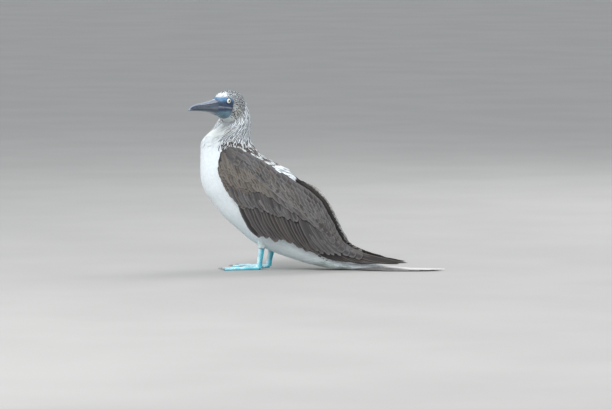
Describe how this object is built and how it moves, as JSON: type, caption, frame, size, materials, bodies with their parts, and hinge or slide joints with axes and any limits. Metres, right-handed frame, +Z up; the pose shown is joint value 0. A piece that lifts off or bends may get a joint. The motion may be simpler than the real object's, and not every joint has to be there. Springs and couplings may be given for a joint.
{
  "type": "blue footed booby",
  "caption": "Life-size standing seabird, head turned aside, wings folded, long pointed bill, webbed feet and wedge tail resting on the floor.",
  "frame": {"origin": "the centre of the bird's box in plan, on the floor that its feet and tail rest on", "axes": "the bird faces -X, its left side is at -Y, +Z is up"},
  "size_m": [0.4743, 0.201, 0.3412],
  "materials": {
    "head_plumage": "pale plumage with fine dark streaks, matt",
    "neck_plumage": "pale plumage with fine dark streaks, matt",
    "body_plumage": "white plumage, mottled dark over the back, matt",
    "wing_plumage": "grey-brown flight feathers with paler edges, matt",
    "tail_plumage": "pale grey tail feathers with white shafts, matt",
    "bill": "blue-grey horn, satin",
    "eye": "pale yellow iris with a small black pupil, wet gloss",
    "foot_skin": "bright turquoise scaled skin, satin",
    "claw": "grey horn, satin"
  },
  "bodies": {
    "root": {"head": "head_plumage", "neck": "neck_plumage", "torso": "body_plumage", "thigh_left": "body_plumage", "thigh_right": "body_plumage", "wing_left": "wing_plumage", "wing_right": "wing_plumage", "tail": "tail_plumage", "bill_upper": "bill", "bill_lower": "bill", "eye_left": "eye", "eye_right": "eye", "shank_left": "foot_skin", "shank_right": "foot_skin", "foot_left": "foot_skin", "foot_right": "foot_skin", "claw_left_1": "claw", "claw_left_2": "claw", "claw_left_3": "claw", "claw_left_4": "claw", "claw_right_1": "claw", "claw_right_2": "claw", "claw_right_3": "claw", "claw_right_4": "claw"}
  },
  "joints": []
}
